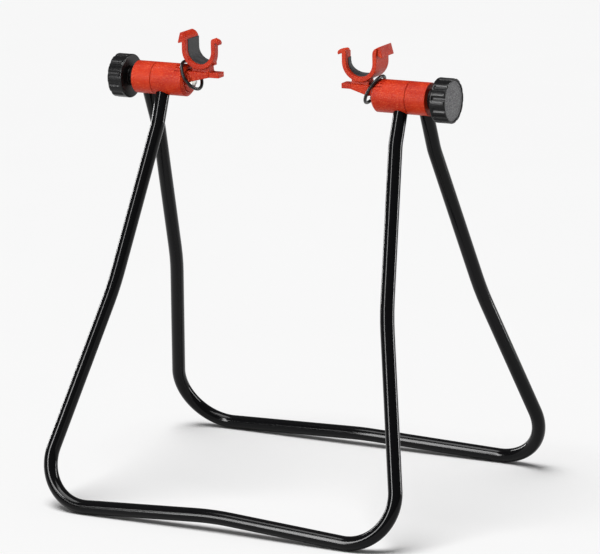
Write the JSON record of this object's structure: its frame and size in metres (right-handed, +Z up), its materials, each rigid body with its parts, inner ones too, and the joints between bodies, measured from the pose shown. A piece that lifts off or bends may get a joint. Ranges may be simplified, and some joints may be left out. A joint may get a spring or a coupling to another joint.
{
  "type": "bike repair stand",
  "caption": "Folding floor stand of two hinged U-shaped tubes with clamping knobs and lined cradles that hold up a bicycle's rear stays.",
  "frame": {"origin": "on the floor, midway between the two hubs, under the hub axis", "axes": "+X across the stand along the hub axis, +Y from the front frame to the rear frame, +Z up"},
  "size_m": [0.3906, 0.3122, 0.4158],
  "materials": {
    "black_enamel": "gloss black enamel on bent steel tube",
    "red_plastic": "satin, fine moulded grain",
    "black_plastic": "satin",
    "grained_black_plastic": "coarse spark-eroded grain",
    "grey_rubber": "matte",
    "black_rubber": "semi-gloss moulded cord",
    "plated_steel": "zinc plated",
    "blackened_steel": "phosphated and oiled",
    "friction_fibre": "pressed fibre"
  },
  "bodies": {
    "front_frame": {"front_leg_tube": "black_enamel", "left_inner_housing": "red_plastic", "left_friction_disc": "friction_fibre", "right_inner_housing": "red_plastic", "right_friction_disc": "friction_fibre"},
    "rear_frame": {"rear_leg_tube": "black_enamel", "left_outer_housing": "red_plastic", "right_outer_housing": "red_plastic"},
    "left_cradle_arm": {"left_clip": "red_plastic", "left_clip_liner": "grey_rubber", "left_retaining_band": "black_rubber", "left_through_bolt": "plated_steel"},
    "left_washer": {"left_thrust_washer": "blackened_steel"},
    "left_hand_knob": {"left_knob": "black_plastic", "left_knob_nut": "plated_steel", "left_knob_cap": "grained_black_plastic"},
    "right_cradle_arm": {"right_clip": "red_plastic", "right_clip_liner": "grey_rubber", "right_retaining_band": "black_rubber", "right_through_bolt": "plated_steel"},
    "right_washer": {"right_thrust_washer": "blackened_steel"},
    "right_hand_knob": {"right_knob": "black_plastic", "right_knob_nut": "plated_steel", "right_knob_cap": "grained_black_plastic"}
  },
  "joints": [
    {"name": "frame_fold", "type": "hinge", "parent": "front_frame", "child": "rear_frame", "pos_m": [0, 0, 0.3715], "axis": [1, 0, 0], "range_deg": [-42, 45]},
    {"name": "left_clip_swivel", "type": "hinge", "parent": "front_frame", "child": "left_cradle_arm", "pos_m": [-0.0946, 0, 0.3715], "axis": [1, 0, 0], "range_deg": [-90, 90]},
    {"name": "left_knob_travel", "type": "slide", "parent": "left_cradle_arm", "child": "left_washer", "axis": [-1, 0, 0], "range_m": [0, 0.0021]},
    {"name": "left_knob_turn", "type": "hinge", "parent": "left_washer", "child": "left_hand_knob", "pos_m": [-0.1548, 0, 0.3715], "axis": [-1, 0, 0], "range_deg": [0, 720]},
    {"name": "right_clip_swivel", "type": "hinge", "parent": "front_frame", "child": "right_cradle_arm", "pos_m": [0.0946, 0, 0.3715], "axis": [1, 0, 0], "range_deg": [-90, 90]},
    {"name": "right_knob_travel", "type": "slide", "parent": "right_cradle_arm", "child": "right_washer", "axis": [1, 0, 0], "range_m": [0, 0.0021]},
    {"name": "right_knob_turn", "type": "hinge", "parent": "right_washer", "child": "right_hand_knob", "pos_m": [0.1548, 0, 0.3715], "axis": [1, 0, 0], "range_deg": [0, 720]}
  ],
  "couplings": [
    {"joint": "left_knob_travel", "follows": "left_knob_turn", "m_per_rad": 0.00015915},
    {"joint": "right_knob_travel", "follows": "right_knob_turn", "m_per_rad": 0.00015915}
  ]
}
